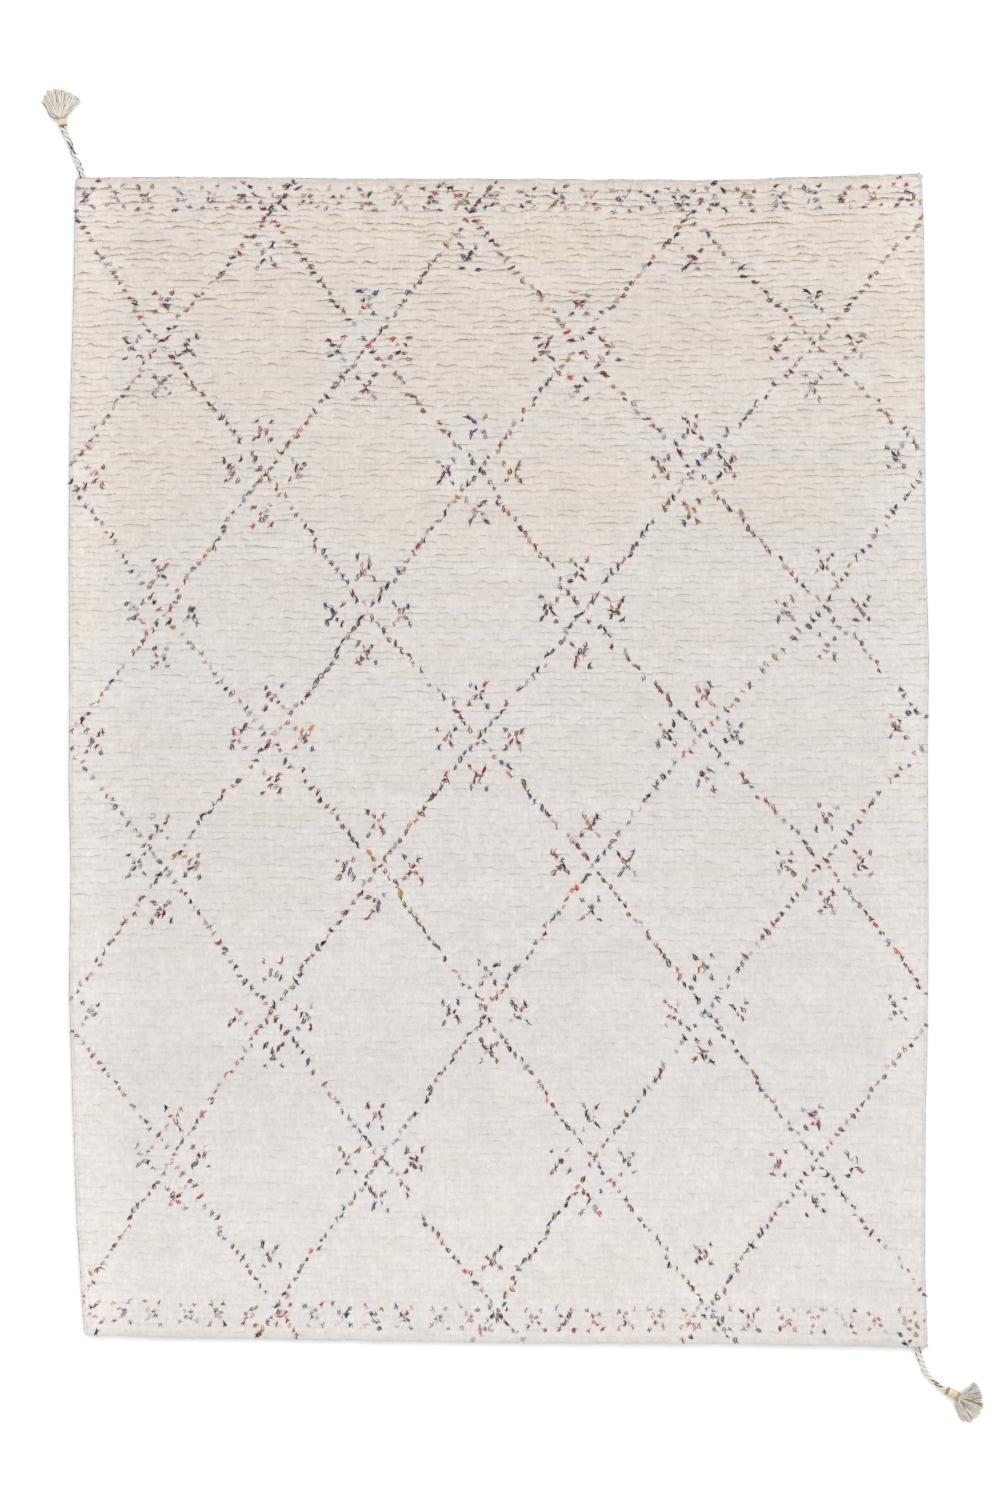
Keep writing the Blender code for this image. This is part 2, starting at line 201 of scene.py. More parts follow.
# Overcast edges, and the sheet of woven ground
OVERCAST_SECTIONS = 540
OVERCAST_INSET = 0.0014
OVERCAST_HEIGHT = 0.0052
GROUND_INSET = 0.0012
GROUND_TOP = 0.0037

# Yarn colours: red, green and blue, and how common each is
YARNS = {
    "charcoal": ((0.027, 0.014, 0.018), 0.33),
    "grey": ((0.116, 0.090, 0.092), 0.07),
    "maroon": ((0.155, 0.016, 0.024), 0.14),
    "coral": ((0.420, 0.062, 0.040), 0.05),
    "navy": ((0.020, 0.028, 0.150), 0.06),
    "orange": ((0.430, 0.170, 0.045), 0.09),
    "brown": ((0.150, 0.048, 0.022), 0.17),
    "olive": ((0.240, 0.180, 0.050), 0.04),
    "slate": ((0.060, 0.092, 0.137), 0.05),
}
YARN_NAMES = list(YARNS)
YARN_COLOURS = {name: np.array(colour) for name, (colour, _) in YARNS.items()}
YARN_ODDS = np.array([often for _, often in YARNS.values()])
YARN_ODDS = YARN_ODDS / YARN_ODDS.sum()

# Colours of the wool and of the wound thread
COOL_WHITE = np.array((0.626, 0.609, 0.596))
WARM_WHITE = np.array((0.625, 0.574, 0.527))
GOLD = (0.41, 0.265, 0.085)
PALE_GOLD = (0.75, 0.59, 0.41)
KNOB_WHITE = (0.58, 0.53, 0.46)


# Helpers


def unit(vectors):
    """The same directions, one long."""
    return vectors / np.maximum(np.linalg.norm(vectors, axis=-1, keepdims=True), 1e-12)


def ease(low, high, value):
    """0 below low, 1 above high, and smooth between them."""
    share = np.clip((value - low) / (high - low), 0.0, 1.0)
    return share * share * (3 - 2 * share)


def drift(x, y, size, seed):
    """Smooth chance values from -1 to 1, which change over the size (across, along)."""
    table = np.random.default_rng(seed).uniform(-1.0, 1.0, (64, 64))
    across = np.asarray(x) / size[0] + 1000.0
    along = np.asarray(y) / size[1] + 1000.0
    column = np.floor(across).astype(int)
    row = np.floor(along).astype(int)
    right = ease(0.0, 1.0, across - column)
    up = ease(0.0, 1.0, along - row)
    corner = [[table[(row + j) % 64, (column + i) % 64] for i in (0, 1)] for j in (0, 1)]
    low = corner[0][0] * (1 - right) + corner[0][1] * right
    high = corner[1][0] * (1 - right) + corner[1][1] * right
    return low * (1 - up) + high * up


def some_of(chance, count, share):
    """Which of a number of things a chance picks: about a share of them."""
    return chance.uniform(0.0, 1.0, count) < share


def packed(*values):
    """Arrays of x, y and z, or of x and y, as one array of points."""
    return np.stack(np.broadcast_arrays(*values), axis=-1)


def turned(first, second, angle):
    """Directions at some angles from a first one towards a second one."""
    return first * np.cos(angle)[..., None] + second * np.sin(angle)[..., None]


def sampled(points, run, places):
    """Points of a line at some places, from the places where its own points lie."""
    return np.stack([np.interp(places, run, column) for column in points.T], axis=-1)


def evened(points, step):
    """The same line in equal steps of about the given length."""
    run = np.concatenate([[0.0], np.cumsum(np.linalg.norm(np.diff(points, axis=0), axis=1))])
    count = max(2, round(run[-1] / step))
    return sampled(points, run, np.linspace(0.0, run[-1], count + 1))


def round_angles(count):
    """Even angles round a circle."""
    return np.arange(count) / count * 2 * np.pi


def quad_corners(rows, columns, ring):
    """The rows and the columns of each quad's four corners, in a grid that closes into rings or not."""
    row, column = np.mgrid[0 : rows - 1, 0 : columns if ring else columns - 1]
    down = row[..., None] + np.array((0, 0, 1, 1))
    aside = column[..., None] + np.array((0, 1, 1, 0))
    return down.reshape(-1, 4), aside.reshape(-1, 4)


def grid_faces(count, rows, columns, ring):
    """The quads of a number of grids, as the numbers of their corners."""
    row, column = quad_corners(rows, columns, ring)
    quad = row * columns + column % columns
    return (quad[None] + (np.arange(count) * rows * columns)[:, None, None]).reshape(-1, 4)


def cell_map(count, rows, columns, ring):
    """A flat map of the same quads: one cell of a square for each grid."""
    wide = max(1, math.ceil(math.sqrt(count)))
    row, column = quad_corners(rows, columns, ring)
    spans = columns if ring else columns - 1
    places = 0.08 + 0.84 * packed(column / spans, row / (rows - 1)).reshape(-1, 2)
    index = np.arange(count)
    cells = packed(index % wide, index // wide)
    return ((cells[:, None] + places[None]) / wide).reshape(-1, 2)


def add_object(name, data):
    thing = bpy.data.objects.new(name, data)
    bpy.context.scene.collection.objects.link(thing)
    return thing


def add_mesh(name, points, faces, tone, fibre, flat_map=None, lid=()):
    """A smooth mesh object with its tone and the direction of its fibres as attributes of its points.

    Its faces have four corners each, apart from one lid with many.
    """
    corners = np.concatenate([faces.ravel(), np.asarray(lid, int)]).astype(np.int32)
    starts = np.arange(0, len(corners) if not len(lid) else faces.size + 1, 4, dtype=np.int32)
    data = bpy.data.meshes.new(name)
    data.vertices.add(len(points))
    data.vertices.foreach_set("co", np.ascontiguousarray(points, np.float32).ravel())
    data.loops.add(len(corners))
    data.loops.foreach_set("vertex_index", corners)
    data.polygons.add(len(starts))
    data.polygons.foreach_set("loop_start", starts)
    data.update(calc_edges=True)
    colours = np.ones((len(points), 4), np.float32)
    colours[:, :3] = tone
    data.color_attributes.new("tone", "FLOAT_COLOR", "POINT").data.foreach_set("color", colours.ravel())
    lie = data.attributes.new("fibre", "FLOAT_VECTOR", "POINT")
    lie.data.foreach_set("vector", np.ascontiguousarray(fibre, np.float32).ravel())
    if flat_map is not None:
        layer = data.uv_layers.new(name="OFBake")
        layer.data.foreach_set("uv", np.ascontiguousarray(flat_map, np.float32).ravel())
    data.shade_smooth()
    return add_object(name, data)


def strips(name, points, tone, widths, ring):
    """Many strips or tubes as one mesh, from points as (strip, section, point, xyz) and a tone for each."""
    count, rows, columns = points.shape[:3]
    tone = np.broadcast_to(tone, points.shape)
    steps = np.linalg.norm(np.diff(points.mean(axis=2), axis=1), axis=-1)
    run = np.concatenate([np.zeros((count, 1)), np.cumsum(steps, axis=1)], axis=1) * MILLIMETRES
    across = np.linspace(-1.0, 1.0, columns) * np.broadcast_to(widths, (count, rows))[..., None]
    own = (np.arange(count) * 7.31 % 997.0)[:, None, None]
    return add_mesh(
        name,
        points.reshape(-1, 3),
        grid_faces(count, rows, columns, ring),
        tone.reshape(-1, 3),
        packed(across * MILLIMETRES, run[..., None], own).reshape(-1, 3),
        cell_map(count, rows, columns, ring),
    )


def tubes(name, centres, radii, sides, tone):
    """Round yarns along level or sloping lines, given as (yarn, section, xyz)."""
    ahead = unit(np.gradient(centres, axis=1))
    aside = unit(np.cross(UP, ahead))
    above = np.cross(ahead, aside)
    radii = np.broadcast_to(radii, centres.shape[:2])[..., None, None]
    ring = turned(aside[:, :, None], above[:, :, None], round_angles(sides))
    return strips(name, centres[:, :, None] + ring * radii, tone, radii[..., 0, 0], True)


def dress(piece, material, slot, *nodes):
    """Gives a piece its material, and lets it stand for CAD nodes. The slot is not used."""
    piece.data.materials.append(material)
    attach(piece, "root")
    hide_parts(*nodes)
    return piece


# Camera and light


def add_camera():
    data = bpy.data.cameras.new("camera")
    data.sensor_width = SENSOR
    data.lens = SENSOR * VIEW_HEIGHT / (PICTURE[1] * PIXEL)
    camera = add_object("camera", data)
    right = (PICTURE[0] / 2 - ORIGIN_PIXEL[0]) * PIXEL
    ahead = (ORIGIN_PIXEL[1] - PICTURE[1] / 2) * PIXEL
    camera.location = FRAME_SHIFT + Vector((right, ahead, VIEW_HEIGHT + PILE_TOP))
    bpy.context.scene.camera = camera


def add_light():
    world = bpy.data.worlds.new("studio")
    world.use_nodes = True
    sky = world.node_tree.nodes["Background"]
    sky.inputs["Color"].default_value = (1.0, 1.0, 1.0, 1.0)
    sky.inputs["Strength"].default_value = SKY_STRENGTH
    bpy.context.scene.world = world
    data = bpy.data.lights.new("window", "SUN")
    data.energy = SUN_STRENGTH
    data.angle = math.radians(SUN_SPREAD)
    lamp = add_object("window", data)
    lamp.rotation_euler = Vector(SUN_WAY).to_track_quat("Z", "Y").to_euler()
    bpy.context.scene.view_settings.view_transform = "Standard"


# Materials


def new_material(name):
    """A material, its node tree and its surface shader."""
    material = bpy.data.materials.new(name)
    material.use_nodes = True
    return material, material.node_tree, material.node_tree.nodes["Principled BSDF"]


def feed(tree, node, values):
    """Sets sockets of a node to values, or links them to outputs of other nodes."""
    for key, value in values.items():
        if isinstance(value, bpy.types.NodeSocket):
            tree.links.new(value, node.inputs[key])
        else:
            node.inputs[key].default_value = value


def add_node(tree, kind, output, values=None, **settings):
    """One output of a new shader node, which has some of its settings and sockets set."""
    node = tree.nodes.new("ShaderNode" + kind)
    for key, value in settings.items():
        setattr(node, key, value)
    feed(tree, node, values or {})
    return node.outputs[output]


def reckon(tree, operation, *sources):
    """The outcome of a sum that is done on values or outputs."""
    return add_node(tree, "Math", "Value", dict(enumerate(sources)), operation=operation)


def stretch(tree, source, scale):
    """A vector multiplied by a scale for each axis."""
    return add_node(tree, "VectorMath", "Vector", {0: source, 1: scale}, operation="MULTIPLY")


def spread_of(tree, source, low, high, whole=(0.28, 0.72)):
    """A value, most often a noise, turned from its whole range into another."""
    values = {"Value": source, "From Min": whole[0], "From Max": whole[1], "To Min": low, "To Max": high}
    return add_node(tree, "MapRange", "Result", values)


def noise(tree, source, scale, **values):
    """A noise over coordinates that are stretched first."""
    return add_node(tree, "TexNoise", "Fac", {"Vector": stretch(tree, source, scale), "Scale": 1.0, **values})


def finish_wool(tree, shader, shade, rough, relief, strength, depth, sheen):
    """A surface with the tone of its points, which a shade multiplies, and with relief and sheen."""
    tone = add_node(tree, "Attribute", "Color", attribute_name="tone")
    colour = add_node(tree, "VectorMath", "Vector", {0: tone, "Scale": shade}, operation="SCALE")
    bump = add_node(tree, "Bump", "Normal", {"Strength": strength, "Distance": depth, "Height": relief})
    feed(tree, shader, {"Base Color": colour, "Roughness": rough, "Normal": bump})
    feed(tree, shader, {"Sheen Weight": sheen, "Sheen Roughness": 0.5, "Specular IOR Level": 0.25})


def yarn_material(name, hair, contrast, depth, roughness, sheen):
    """Wool or thread: its tone with fine hairs along the yarn, in colour, roughness and relief."""
    material, tree, shader = new_material(name)
    fibre = add_node(tree, "Attribute", "Vector", attribute_name="fibre")
    place = add_node(tree, "TexCoord", "Object")
    hairs = noise(tree, fibre, hair, Detail=3.0, Roughness=0.65)
    clouds = noise(tree, place, (150.0, 70.0, 70.0), Detail=3.0)
    fine = spread_of(tree, hairs, 1 - contrast, 1 + contrast * 0.6)
    broad = spread_of(tree, clouds, 0.935, 1.055)
    shade = reckon(tree, "MULTIPLY", fine, broad)
    rough = spread_of(tree, hairs, roughness + 0.07, roughness - 0.07)
    finish_wool(tree, shader, shade, rough, hairs, 0.8, depth, sheen)
    return material


def weave_material(name):
    """The knotted ground: two small bumps to each knot between the wefts, and fine hairs."""
    material, tree, shader = new_material(name)
    knots = add_node(tree, "Attribute", "Vector", attribute_name="fibre")
    turns = stretch(tree, knots, (2 * math.pi, math.pi, 1.0))
    waves = []
    for axis in ("X", "Y"):
        part = add_node(tree, "SeparateXYZ", axis, {0: turns})
        waves.append(reckon(tree, "ABSOLUTE", reckon(tree, "SINE", part)))
    bumps = reckon(tree, "MULTIPLY", *waves)
    hairs = noise(tree, knots, (9.0, 3.0, 1.0), Detail=4.0, Roughness=0.6)
    relief = reckon(tree, "MULTIPLY_ADD", hairs, 0.35, bumps)
    # Painted shade: the colour darkens where the relief is low, in the hollows between the bumps.
    shade = spread_of(tree, relief, 0.72, 1.06, (0.1, 1.1))
    rough = spread_of(tree, hairs, 0.97, 0.85)
    finish_wool(tree, shader, shade, rough, relief, 0.9, 0.0012, 0.15)
    return material


def floor_material():
    material, tree, shader = new_material("floor")
    place = add_node(tree, "TexCoord", "Object")
    grain = noise(tree, place, (9.0, 9.0, 9.0), Detail=4.0)
    tones = {"A": (0.93, 0.93, 0.93, 1.0), "B": (0.95, 0.95, 0.95, 1.0)}
    pale = add_node(tree, "Mix", "Result", {**tones, "Factor": grain}, data_type="RGBA")
    feed(tree, shader, {"Base Color": pale, "Roughness": 0.9, "Specular IOR Level": 0.0})
    return material


def add_floor():
    data = bpy.data.meshes.new("floor")
    corners = [(x * FLOOR_HALF, y * FLOOR_HALF, FLOOR_LEVEL) for x, y in ((-1, -1), (1, -1), (1, 1), (-1, 1))]
    data.from_pydata(corners, [], [(0, 1, 2, 3)])
    data.materials.append(floor_material())
    add_object("floor", data)


# Cords, bindings and tassels


def heading_of(corner):
    angle = math.radians(corner["heading"])
    return Vector((math.cos(angle), math.sin(angle), 0.0))


def cord_route(corner):
    """Even points along the cord, from the rug's wall to the tassel's binding."""
    out = Vector((*corner["out"], 0.0))
    low = CORD_RADIUS + FLOOR_GAP
    begin = Vector((*corner["wall"], low)) + out * GAP
    end = Vector((*corner["route"][-1], AXIS_HEIGHT))
    between = [Vector((*place, low)) for place in corner["route"][:-1]]
    arriving = end - heading_of(corner) * SQUARE_END
    line = [begin, begin + out * SQUARE_END, *between, arriving, end]
    dense = [begin]
    for last, start, stop, following in zip(line, line[1:], line[2:], line[3:]):
        leave = start + (stop - last) / 6
        arrive = stop - (following - start) / 6
        dense.extend(geometry.interpolate_bezier(start, leave, arrive, stop, CURVE_STEPS)[:-1])
    dense.extend([arriving, end])
    return evened(np.array([tuple(point + FRAME_SHIFT) for point in dense]), CORD_STEP)


def length_of(points):
    return float(np.linalg.norm(np.diff(points, axis=0), axis=1).sum())


def add_cord(name, route, marks, material):
    """Three twisted plies, each of five strands laid the other way, with a few coloured strands.

    A mark is (ply, strand, yarn, first and last share of the length).
    """
    chance = np.random.default_rng(31 + len(name))
    centre = evened(route, 0.0013)
    run = np.linspace(0.0, length_of(centre), len(centre))
    share = run / run[-1]
    ahead = unit(np.gradient(centre, axis=0))
    left = unit(np.cross(UP, ahead))
    up = np.cross(ahead, left)
    lines = []
    tones = []
    for ply in range(PLIES):
        out = turned(left, up, 2 * np.pi * (ply / PLIES - run / LAY_LENGTH))
        across = np.cross(ahead, out)
        for strand in range(STRANDS):
            offset = turned(out, across, 2 * np.pi * (strand / STRANDS + run / STRAND_LAY))
            lines.append(centre + out * PLY_OFFSET + offset * STRAND_OFFSET)
            shade = COOL_WHITE * chance.uniform(1.02, 1.24) * STRAND_TINT
            tone = np.repeat(shade[None], len(centre), axis=0)
            for mark_ply, mark_strand, yarn, first, last in marks:
                if (mark_ply, mark_strand) == (ply, strand):
                    begun = ease(first - 0.02, first + 0.02, share)
                    amount = begun * (1 - ease(last - 0.02, last + 0.02, share))
                    tone = tone + (YARN_COLOURS[yarn] - tone) * amount[:, None]
            tones.append(tone)
    wobble = drift(run[None] * MILLIMETRES, np.arange(len(lines))[:, None] * 5.0, (4.0, 3.0), 5)
    radii = STRAND_RADIUS * (1 + 0.10 * wobble)
    cord = tubes(name, np.array(lines), radii, 6, np.array(tones)[:, :, None, :])
    return dress(cord, material, "cord_yarn", name)


def swell(share):
    """How far a binding's surface lies from its axis, at shares of its length."""
    return BINDING_RADIUS + BINDING_BULGE * np.sin(np.pi * share)


def band_colours(bands, share):
    """The colour of the thread at shares of a binding's length."""
    colours = np.array([colour for _, colour in bands])
    return colours[np.searchsorted([last for last, _ in bands], share).clip(0, len(bands) - 1)]


def add_binding(name, seat, ahead, length, bands, material):
    """Thread wound round the neck, over a close core. A band is (last share of the length, colour)."""
    left = np.cross(UP, ahead)
    turns = round(length / THREAD_PITCH)
    count = turns * TURN_STEPS + 1
    share = np.linspace(0.0, 1.0, count)
    out = turned(left, UP, 2 * np.pi * turns * share)
    place = THREAD_RADIUS + (length - 2 * THREAD_RADIUS) * share
    centre = seat + ahead * place[:, None] + out * (swell(share) - THREAD_RADIUS)[:, None]
    points = centre[:, None] + turned(out[:, None], ahead, round_angles(THREAD_SIDES)) * THREAD_RADIUS
    wear = 1 + 0.10 * drift(np.arange(count), np.zeros(count), (7.0, 1.0), 9)
    tone = np.repeat(band_colours(bands, share) * wear[:, None], THREAD_SIDES, axis=0)
    lie = packed(np.arange(THREAD_SIDES)[None] * 0.2, (share * turns * 53.0)[:, None], 0.0)

    rows, columns = CORE_SIZE
    share = np.linspace(0.0, 1.0, rows)
    radius = swell(share) - 1.5 * THREAD_RADIUS
    radius[[0, -1]] = CORE_END_RADIUS
    out = turned(left, UP, round_angles(columns))
    place = CORE_INSET + (length - 2 * CORE_INSET) * share
    core = seat + ahead * place[:, None, None] + out[None] * radius[:, None, None]
    # Painted shade: the core shows only between the turns of the thread, so it takes the thread's colour at
    # 0.6 as shade.
    painted_core_shade = np.repeat(band_colours(bands, share)[:, None] * 0.6, columns, axis=1)
    core_faces = grid_faces(1, rows, columns, True) + count * THREAD_SIDES
    binding = add_mesh(
        name,
        np.concatenate([points.reshape(-1, 3), core.reshape(-1, 3)]),
        np.concatenate([grid_faces(1, count, THREAD_SIDES, True), core_faces]),
        np.concatenate([tone, painted_core_shade.reshape(-1, 3)]),
        np.concatenate([lie.reshape(-1, 3), np.zeros((rows * columns, 3))]),
    )
    return dress(binding, material, "gold_thread", name)


def add_tassel(name, corner, seat, ahead, shade, locks, material):
    """Yarn ends that leave the binding, swell to a head and fan out over the floor.

    A lock is (first and last bearing in degrees, colour, share of the yarns there that take it).
    """
    chance = np.random.default_rng(47 + len(name))
    count = TASSEL_YARNS
    sections = TASSEL_SECTIONS
    first, last = corner["bearings"][0], corner["bearings"][-1]
    spot = (np.arange(count) + chance.uniform(0.0, 1.0, count)) / count
    bearing = first - 1.0 + (last - first + 2.0) * spot
    reach = np.interp(bearing, corner["bearings"], corner["reaches"]) * chance.uniform(*TASSEL_REACH, count)
    level = chance.uniform(-1.0, 1.0, count)
    level = np.sign(level) * np.abs(level) ** 0.7
    turn = np.radians(bearing)
    way = packed(np.cos(turn), np.sin(turn), 0.0)
    aside = packed(-np.sin(turn), np.cos(turn), 0.0)
    side = (spot * 2 - 1) * 0.97
    high = level * np.sqrt(np.maximum(0.0, 1 - side * side))
    back = seat + ahead * (corner["binding_length"] - 0.0005)
    head = back + ahead * 0.0045
    ring = np.cross(UP, ahead) * side[:, None] + UP * high[:, None]
    points = np.empty((count, sections, 3))
    points[:, 0] = back + ring * (HEAD_BACK_RADIUS - 0.0012)
    points[:, 1] = head + ring * (HEAD_RADIUS - 0.0009)
    origin = head + ahead * 0.001
    floor_level = 0.0010 + (level + 1) / 2 * chance.uniform(0.0030, 0.0068, count)
    start = points[:, 1].copy()
    wander = chance.uniform(-1.0, 1.0, (count, 2))
    belly = corner["belly"][1] * ease(0.55, 1.0, spot) - corner["belly"][0] * (1 - ease(0.0, 0.45, spot))
    for section in range(2, sections):
        share = (section - 1) / (sections - 2)
        plain = origin + way * (reach * share)[:, None]
        plain[:, :2] += (start[:, :2] - origin[None, :2]) * (1 - share) ** 1.5
        fall = ease(0.0, 0.62, share)
        plain[:, 2] = start[:, 2] * (1 - fall) + floor_level * fall * (1 - 0.45 * share)
        bend = np.sin(share * np.pi * 1.6) * 0.0017 * wander[:, 0] + share**2 * 0.0030 * wander[:, 1]
        bend = bend + belly * np.sin(np.pi * share**0.6)
        points[:, section] = plain + aside * bend[:, None]
    radius = chance.uniform(*TASSEL_RADII, count)
    points[:, :, 2] = np.maximum(points[:, :, 2], radius[:, None] + FLOOR_GAP)
    shape = np.ones(sections)
    shape[-2:] = (0.9, 0.45)
    tone = shade * chance.uniform(0.86, 1.05, (count, 1))
    for low, high, colour, share in locks:
        taken = (bearing > low) & (bearing < high) & some_of(chance, count, share)
        tone[taken] = np.array(colour) * chance.uniform(0.8, 1.15, (int(taken.sum()), 1))
    tone = np.repeat(tone[:, None], sections, axis=1)
    tone *= np.linspace(0.90, 1.0, sections)[None, :, None]
    tassel = tubes(name, points, radius[:, None] * shape[None], 4, tone[:, :, None, :])
    return dress(tassel, material, "tassel_yarn", name)


def add_corner(name, marks, bands, shade, locks):
    corner = CORNERS[name]
    route = cord_route(corner)
    ahead = np.array(heading_of(corner))
    seat = route[-1] + ahead * GAP
    length = corner["binding_length"]
    cord = add_cord(f"cord_{name}", route, marks, materials["cord"])
    binding = add_binding(f"binding_{name}", seat, ahead, length, bands, materials["thread"])
    tassel = add_tassel(f"tassel_{name}", corner, seat, ahead, shade, locks, materials["tassel"])
    cord.name = f"twisted_cord_{name}"
    binding.name = f"wound_thread_{name}"
    tassel.name = f"yarn_tassel_{name}"


# The rug's outline and plan


def read_edges():
    """Each edge as shares of its chord and points: corners and ends from the foot of the rug's solid."""
    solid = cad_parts["rug"].data
    points = np.empty(len(solid.vertices) * 3, np.float32)
    solid.vertices.foreach_get("co", points)
    points = points.reshape(-1, 3).astype(float)
    foot = np.unique(np.round(points[points[:, 2] < 1e-5, :2], 6), axis=0)
    foot = foot[np.argsort(np.arctan2(foot[:, 1], foot[:, 0]))]
    foot = np.roll(foot, -int(np.argmin(foot[:, 0] + foot[:, 1])), axis=0)
    near_right, far_right, far_left = [int(np.argmax(foot @ way)) for way in ((1, -1), (1, 1), (-1, 1))]
    runs = {"near": foot[: near_right + 1], "far": foot[far_right : far_left + 1][::-1]}
    for name, way, start, end in (("left", -1.0, far_left, 0), ("right", 1.0, far_right, near_right)):
        shares, bows = np.array(SELVEDGES[name])
        runs[name] = foot[start] + (foot[end] - foot[start]) * shares[:, None]
        runs[name][:, 0] += way * bows
    edges = {}
    for name, run in runs.items():
        chord = run[-1] - run[0]
        edges[name] = ((run - run[0]) @ chord / (chord @ chord), run)
    ring = [runs["near"], runs["right"][::-1], runs["far"][::-1], runs["left"]]
    return edges, np.concatenate([run[:-1] for run in ring])


EDGES, FOOT = read_edges()


def on_edge(name, share):
    shares, points = EDGES[name]
    return sampled(points, shares, share)


def plan(across, along):
    """Points inside the four edges, at shares of the width and of the length."""
    far_left, far_right = EDGES["far"][1][[0, -1]]
    near_left, near_right = EDGES["near"][1][[0, -1]]
    a = np.asarray(across)[..., None]
    b = np.asarray(along)[..., None]
    bowed = on_edge("far", across) * (1 - b) + on_edge("near", across) * b
    bowed = bowed + on_edge("left", along) * (1 - a) + on_edge("right", along) * a
    straight = (far_left * (1 - a) + far_right * a) * (1 - b) + (near_left * (1 - a) + near_right * a) * b
    return bowed - straight


def draw_chart():
    """The coloured knots: row, knot and the slope of the line or arm they belong to, 1 for one that rises."""
    marks = {}

    def mark(row, knot, slope, kind):
        if 0 <= row < ROWS and 0 <= knot < KNOTS:
            marks.setdefault((row, knot), (slope, kind))

    def line(start, end):
        slope = 1 if end[1] < start[1] else -1
        for row in range(round(start[0]), round(end[0])):
            share = (row - start[0]) / (end[0] - start[0])
            mark(row, round(start[1] + (end[1] - start[1]) * share), slope, "line")

    def motif(row, knot, kind):
        first_row = round(row - (MOTIF_SIZE - 1) / 2)
        first_knot = round(knot - (MOTIF_SIZE - 1) / 2)
        for step in range(MOTIF_SIZE):
            mark(first_row + step, first_knot + step, -1, kind)
            mark(first_row + step, first_knot + MOTIF_SIZE - 1 - step, 1, kind)

    crossings = [
        [(left_row + (right_row - left_row) * knot / KNOTS, knot) for knot in knots]
        for left_row, right_row, knots in LATTICE
    ]
    for upper, lower in zip(crossings, crossings[1:]):
        for start in upper:
            for end in lower:
                if abs(end[1] - start[1]) < LINE_REACH:
                    line(start, end)
    for row, knot in crossings[0]:
        for side in (-1, 1):
            line((0, knot + side * row), (row, knot))
    for row, knot in crossings[-1]:
        for side in (-1, 1):
            line((row, knot), (ROWS, knot + side * (ROWS - row)))
    last = len(crossings) - 1
    for index, group in enumerate(crossings):
        for row, knot in group:
            aside = MOTIF_KNOTS[0] + (MOTIF_KNOTS[1] - MOTIF_KNOTS[0]) * knot / KNOTS
            inside = 2 < knot < KNOTS - 2
            if inside and index > 0:
                motif(row - (LAST_MOTIF_ROWS if index == last else MOTIF_ROWS), knot, "motif")
            if inside and index < last:
                motif(row + MOTIF_ROWS, knot, "motif")
            if 0 < index < last:
                motif(row, knot - aside, "motif")
                motif(row, knot + aside, "motif")
    for first in BANDS:
        for number in range(int(KNOTS / BAND_PITCH) + 1):
            motif(first + (MOTIF_SIZE - 1) / 2, 1.5 + number * BAND_PITCH, "band")
    return marks


def blurred(field, reach):
    """A field softened over a number of knots."""
    steps = np.arange(-3 * reach, 3 * reach + 1)
    weights = np.exp(-0.5 * (steps / reach) ** 2)
    weights /= weights.sum()
    for axis in (0, 1):
        padding = [(3 * reach, 3 * reach) if i == axis else (0, 0) for i in range(field.ndim)]
        wide = np.pad(field, padding, mode="edge")
        length = field.shape[axis]
        field = sum(
            weight * np.take(wide, range(k, k + length), axis=axis) for k, weight in enumerate(weights)
        )
    return field


# Pile


def knot_tones(yarn_of):
    """The wool's tone at each knot: warm and cool whites, streaks along the rows, a tint by coloured ones."""
    row, knot = np.mgrid[0:ROWS, 0:KNOTS]
    place = plan((knot + 0.5) / KNOTS, (row + 0.5) / ROWS)
    x, y = np.moveaxis(place, -1, 0)
    coloured = np.zeros((ROWS, KNOTS))
    hue = np.zeros((ROWS, KNOTS, 3))
    for (r, k), yarn in yarn_of.items():
        coloured[r, k] = 1.0
        rgb = YARN_COLOURS[yarn]
        hue[r, k] = np.clip((rgb - rgb.mean()) * 2.5, -0.5, 0.8)
    beside = np.clip(blurred(coloured, 2) * 3.2, 0.0, 1.0)
    tint = blurred(hue, 1)
    edge = np.minimum(knot + 0.5, KNOTS - knot - 0.5)
    warm = 0.36 + 0.92 * np.clip(1 - row / 130, 0.0, 1.0) ** 1.3 + 0.22 * ease(148, 179, row)
    warm = warm + 0.14 * drift(x, y, (0.30, 0.14), 3) + 0.26 * drift(x, y, (0.42, 0.020), 4)
    warm = warm + 0.16 * drift(x, y, (0.11, 0.045), 5)
    warm = warm + 0.20 * (1 - ease(4, 9, row))
    warm = warm * (1 - 0.60 * beside) * ease(-0.8, 1.8, edge) * (0.5 + 0.5 * ease(-0.5, 1.5, row))
    warm = np.clip(warm, 0.0, 1.7)
    light = 1 + 0.018 * drift(x, y, (0.45, 0.030), 6) + 0.020 * drift(x, y, (0.05, 0.014), 7)
    light = light + 0.018 * drift(x, y, (0.016, 0.075), 8)
    side = np.where(knot < KNOTS / 2, 0.080, 0.050 - 0.05 * ease(130, 172, row))
    light = light + 0.050 * ease(136, 168, row) + side * (1 - ease(2.0, 15.0, edge)) - 0.05 * (edge < 1.0)
    light = light - 0.010 * ease(12, 22, row) * (1 - ease(98, 125, row))
    far_right = 0.024 * (1 - ease(20, 50, row)) * ease(0.70, 0.85, knot / KNOTS)
    light = light + far_right - 0.030 * ease(166, 176, row) * ease(0.75, 0.95, knot / KNOTS)
    tone = COOL_WHITE + (WARM_WHITE - COOL_WHITE) * warm[..., None]
    return tone * light[..., None] + tint * 0.18


def lean_of(x, y):
    """How far the pile leans sideways, as a share of its length: to the left on the left half."""
    calm = 1 - ease(0.55, 0.95, y)
    return 0.20 * calm * np.tanh(x / 0.42)


